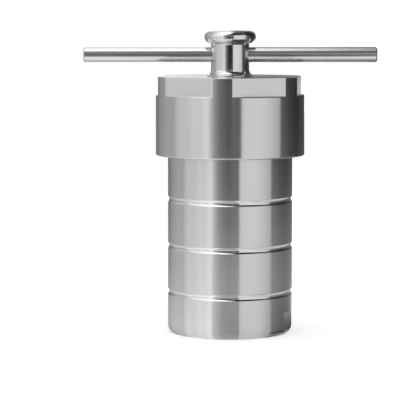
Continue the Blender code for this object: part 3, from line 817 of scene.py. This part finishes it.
def card(name, corners, levels, steep=False, twice=False):
    """A card that only shows in metal: one flat face, or one for each four corners, with a brightness for
    each corner. A steep one shows only where the vessel's grooves look down at it, and is clear to the wall
    beside them. One marked twice shows only by way of two pieces, as the light overhead does when the bar's
    underside mirrors the cap's top."""
    mesh = bpy.data.meshes.new(name)
    faces = [list(range(len(corners)))]
    if len(corners) % 4 == 0:
        faces = [[4 * i + k for k in range(4)] for i in range(len(corners) // 4)]
    mesh.from_pydata(corners, [], faces)
    shade = mesh.attributes.new("level", "FLOAT", "POINT")
    for i, value in enumerate(levels):
        shade.data[i].value = value
    piece = bpy.data.objects.new(name, mesh)
    bpy.context.collection.objects.link(piece)
    material = bpy.data.materials.new(name)
    material.use_nodes = True
    tree = material.node_tree
    tree.nodes.clear()
    level = node(tree, "ShaderNodeAttribute", attribute_name="level")
    surface = node(tree, "ShaderNodeEmission", {"Strength": level.outputs["Fac"]})
    if steep:
        # A sight line's fall times its length is the height that it comes from.
        middle = (GROOVES_TO + GROOVES_FROM) / 2
        span = (GROOVES_TO - GROOVES_FROM) / 2
        sight = node(tree, "ShaderNodeNewGeometry").outputs["Incoming"]
        fall = node(tree, "ShaderNodeSeparateXYZ", {0: sight}).outputs[2]
        length = node(tree, "ShaderNodeLightPath").outputs["Ray Length"]
        height = node(tree, "ShaderNodeMath", {0: fall, 1: length}, operation="MULTIPLY")
        near = node(tree, "ShaderNodeMath", {0: height.outputs[0], 1: middle, 2: span}, operation="COMPARE")
        down = node(tree, "ShaderNodeMapRange",
                    {"Value": fall, "From Min": STEEP_FROM, "From Max": STEEP_FULL})
        shows = node(tree, "ShaderNodeMath", {0: near.outputs[0], 1: down.outputs[0]}, operation="MULTIPLY")
    if twice:
        # A depth of 2 or more, because the last piece before the card isn't the first that was met.
        bounces = node(tree, "ShaderNodeLightPath").outputs["Glossy Depth"]
        shows = node(tree, "ShaderNodeMath", {0: bounces, 1: 1.5}, operation="GREATER_THAN")
    if steep or twice:
        clear = node(tree, "ShaderNodeBsdfTransparent")
        surface = node(tree, "ShaderNodeMixShader",
                       {0: shows.outputs[0], 1: clear.outputs[0], 2: surface.outputs[0]})
    node(tree, "ShaderNodeOutputMaterial", {"Surface": surface.outputs[0]})
    mesh.materials.append(material)
    piece.visible_camera = False
    piece.visible_diffuse = False
    piece.visible_shadow = False
    piece.visible_transmission = False


# One face of a curved card spans about this many degrees.
CARD_STEP = 4


def screen(name, steps, profile, steep=False):
    """A curved card round the reactor. Steps are (azimuth from -Y towards +X, brightness), and the profile
    gives its (distance, height, added brightness) from its inner edge on the floor to its top. An upright
    edge follows the line in which the vessel's wall shows it, so that its reflection stands upright too."""
    corners = []
    levels = []
    for (start, first), (end, last) in zip(steps, steps[1:]):
        count = max(1, int(abs(end - start) / CARD_STEP))
        for i in range(count):
            for below, above in zip(profile, profile[1:]):
                for k, (reach, z, more) in ((i, below), (i + 1, below), (i + 1, above), (i, above)):
                    angle = math.radians(start + (end - start) * k / count)
                    x = SHELL_RADIUS * math.sin(angle / 2) + (reach - SHELL_RADIUS) * math.sin(angle)
                    y = SHELL_RADIUS * math.cos(angle / 2) + (reach - SHELL_RADIUS) * math.cos(angle)
                    corners.append((x, -y, z))
                    levels.append(first + (last - first) * k / count + more)
    card(name, corners, levels, steep)


# Most cards start at the foot and lie just above the floor, out to a backdrop that is farther off than the
# camera and stands up to the studio's top. The gap is the part that the camera looks through.
UNDER_FOOT = (0.0302, 0.0001)
BESIDE_FOOT = (0.0352, 0.0008)
LAID = 0.001
TABLE_NEAR = 0.13
TABLE_FAR = 0.28
BACKDROP = 1.5
STUDIO_TOP = 2.2
GAP_LEFT = -34
GAP_RIGHT = 17.5

# On the left, screens from the backdrop to the foot light half of the wall.
left_table = ((*UNDER_FOOT, 0.28), (*BESIDE_FOOT, 0.24), (0.06, LAID, 0.38), (0.2, LAID, 0.27),
              (0.35, LAID, 0.14), (0.8, LAID, 0.0), (BACKDROP, LAID, 0.0), (BACKDROP, 0.30, 0.0))
screen("left_screens", ((-87, 0.79), (-75, 0.78), (-66, 0.78), (-62, 0.86), (-55, 0.89), (-48, 0.84),
                        (-40, 0.97), (-36, 1.05), (GAP_LEFT, 1.05)),
       left_table + ((BACKDROP, 0.65, 0.55), (BACKDROP, STUDIO_TOP, 0.6)))
screen("left_rear_screens", ((-164, 0.20), (-150, 0.24), (-135, 0.40), (-112, 0.54), (-98, 0.51),
                             (-92, 0.66), (-87, 0.79)),
       left_table + ((BACKDROP, 0.65, 0.20), (BACKDROP, STUDIO_TOP, 0.2)))

# In front, the dark gap that the camera looks through makes the wall's dark band, over a lighter table.
screen("camera_gap", ((GAP_LEFT, 1.05), (-32, 0.80), (-29, 0.58), (-26, 0.42), (-21, 0.22), (-15, 0.10),
                      (-8, 0.04), (-2, 0.0), (3, 0.0), (8, 0.02), (GAP_RIGHT, 0.05)),
       ((TABLE_FAR, LAID, 0.12), (0.6, LAID, 0.08), (1.3, LAID, 0.07), (BACKDROP, LAID, 0.0),
        (BACKDROP, 0.15, 0.0), (BACKDROP, 0.25, 0.14), (BACKDROP, 0.8, 0.20), (BACKDROP, STUDIO_TOP, 0.08)))
screen("front_table_card", ((GAP_LEFT, 0.95), (GAP_RIGHT, 0.95)),
       ((TABLE_NEAR, LAID, 0.0), (TABLE_FAR, LAID, 0.0)))
screen("front_foot_card", ((GAP_LEFT, 0.88), (-26, 0.70), (-15, 0.50), (GAP_RIGHT, 0.44)),
       ((*UNDER_FOOT, 0.10), (*BESIDE_FOOT, 0.04), (TABLE_NEAR, LAID, 0.0)))

# On the right, a bright screen makes the wall's light band and a dark flag beyond it the shaded edge.
screen("right_screens", ((GAP_RIGHT, 0.97), (40, 1.0), (55, 0.95), (62, 0.88), (70, 0.78), (82, 0.62)),
       ((*UNDER_FOOT, -0.10), (*BESIDE_FOOT, -0.15), (0.06, LAID, -0.05), (0.35, LAID, 0.05),
        (BACKDROP, LAID, 0.0), (BACKDROP, 1.08, 0.0)))
FLAG_PLACE = 0.2
flag_wall = ((FLAG_PLACE, 0.066, 0.05), (FLAG_PLACE, 0.1, 0.0), (FLAG_PLACE, 0.4, -0.04))
screen("right_flag", ((82, 0.16), (90, 0.13), (104, 0.07), (124, 0.04), (136, 0.07), (150, 0.08)),
       ((0.0335, 0.0002, 0.0), (*BESIDE_FOOT, 0.0), (0.05, LAID, 0.12), (0.12, LAID, 0.15),
        (FLAG_PLACE, LAID, 0.25)) + flag_wall)
screen("right_rear_flag", ((150, 0.08), (178, 0.09)),
       ((*BESIDE_FOOT, -0.05), (0.07, LAID, 0.06), (0.10, LAID, 0.34), (0.13, LAID, 0.60),
        (FLAG_PLACE, LAID, 0.28)) + flag_wall)

# Three small cards: one for the right ends of the grooves, one behind the reactor for its outermost edge on
# the right, and one for the milled flat that turns away there.
GROOVE_CARD_HEIGHT = 0.0015
REAR_PLACE = 0.19
screen("groove_table_card", ((50, 0.80), (82, 0.76), (130, 0.74), (165, 0.70)),
       ((0.0415, GROOVE_CARD_HEIGHT, 0.0), (0.25, GROOVE_CARD_HEIGHT, 0.0)), steep=True)
screen("right_rear_card", ((168, 0.26), (191.5, 0.26)), ((REAR_PLACE, 0.13, 0.0), (REAR_PLACE, 0.4, 0.0)))
screen("cap_flat_card", ((163, 1.3), (180, 1.3)),
       ((REAR_PLACE, 0.088, -1.05), (REAR_PLACE, 0.108, -0.7), (REAR_PLACE, 0.113, 0.0),
        (REAR_PLACE, 0.137, 0.0)))

GAP_CARD_PLACE = 1.45


def in_gap(*places):
    """Corners of a card just in front of the backdrop, from pairs of azimuth and height."""
    corners = []
    for azimuth, height in places:
        angle = math.radians(azimuth)
        corners.append((GAP_CARD_PLACE * math.sin(angle), -GAP_CARD_PLACE * math.cos(angle), height))
    return corners


# Two cards that show in the knob: a slanting bright one at the gap's left and a narrow grey one right of the
# gap's middle.
card("gap_slant", in_gap((-46, 0.45), (-28, 1.05), (-14, STUDIO_TOP), (-46, STUDIO_TOP)),
     (1.2, 1.2, 1.6, 1.6))
card("gap_right_card", in_gap((0.5, 0.17), (7.5, 0.17), (7.5, 0.8), (0.5, 0.8),
                              (7.5, 0.17), (9, 0.17), (9, 0.8), (7.5, 0.8)),
     (0.12, 0.55, 0.55, 0.12, 0.55, 0.05, 0.05, 0.55))


def overhead(name, places, levels, height=1.2, twice=False):
    """A level card above the reactor, with its corners given as (x, y)."""
    card(name, [(x, y, height) for x, y in places], levels, twice=twice)


# Overhead, bright cards on the left give way to dark ones on the right, which splits the knob's light.
overhead("overhead_left", [(-1.4, -0.85), (-0.26, -0.85), (-0.02, -0.25), (0.0, 0.3), (-1.4, 0.3)],
         (1.2, 2.0, 2.0, 2.0, 0.6))
overhead("overhead_edge", [(-0.26, -0.85), (-0.06, -0.85), (0.18, -0.6), (-0.02, -0.25),
                           (-0.02, -0.25), (0.18, -0.6), (0.2, 0.3), (0.0, 0.3)],
         (2.0, 0.06, 0.10, 2.0, 2.0, 0.10, 0.12, 1.2))
overhead("overhead_rear", [(-1.4, 0.3), (0.0, 0.3), (0.0, 1.0), (-1.4, 1.0)], (0.6, 1.1, 1.1, 0.6))
overhead("overhead_back", [(0.0, 0.3), (0.2, 0.3), (0.3, 1.0), (0.0, 1.0)], (1.2, 0.3, 0.3, 1.1))
overhead("overhead_flag", [(-0.06, -0.85), (-0.06, -1.5), (1.5, -1.5), (1.5, -0.6), (0.18, -0.6)],
         (0.03,) * 5)
overhead("overhead_side", [(0.18, -0.6), (1.5, -0.6), (1.5, 1.0), (0.3, 1.0), (0.2, 0.3)],
         (0.03, 0.05, 0.05, 0.2, 0.12))

# Just below hang two cards that show by way of two pieces only, the rear one bright on the left.
TWICE_HEIGHT = 1.19
TWICE_EDGE = -0.42
overhead("twice_front", [(-1.5, -1.5), (0.25, -1.5), (0.12, TWICE_EDGE), (-1.5, TWICE_EDGE)], (1.9,) * 4,
         TWICE_HEIGHT, twice=True)
fade = ((-1.5, 1.8), (-0.18, 1.8), (-0.10, 0.4), (0.03, 0.06), (1.5, 0.06))
places = []
levels = []
for (left, first), (right, last) in zip(fade, fade[1:]):
    places += [(left, TWICE_EDGE), (right, TWICE_EDGE), (right, 0.8), (left, 0.8)]
    levels += [first, last, last, first]
overhead("twice_above", places, levels, TWICE_HEIGHT, twice=True)


# The camera
# A long lens a little above the knob, looking down at the vessel, which stands right of the picture's
# centre.

CAMERA_DISTANCE = 1.0733
CAMERA_HEIGHT = 0.1710
CAMERA_PITCH = 5.326
CAMERA_YAW = 0.86
camera_data = bpy.data.cameras.new("camera")
camera_data.lens = 180.0
camera_data.sensor_width = 36.0
camera = bpy.data.objects.new("camera", camera_data)
bpy.context.collection.objects.link(camera)
camera.location = (0.0, -CAMERA_DISTANCE, CAMERA_HEIGHT)
camera.rotation_euler = (math.radians(90.0 - CAMERA_PITCH), 0.0, math.radians(CAMERA_YAW))
bpy.context.scene.camera = camera
bpy.context.scene.view_settings.view_transform = "Standard"
bpy.context.scene.cycles.glossy_bounces = 10
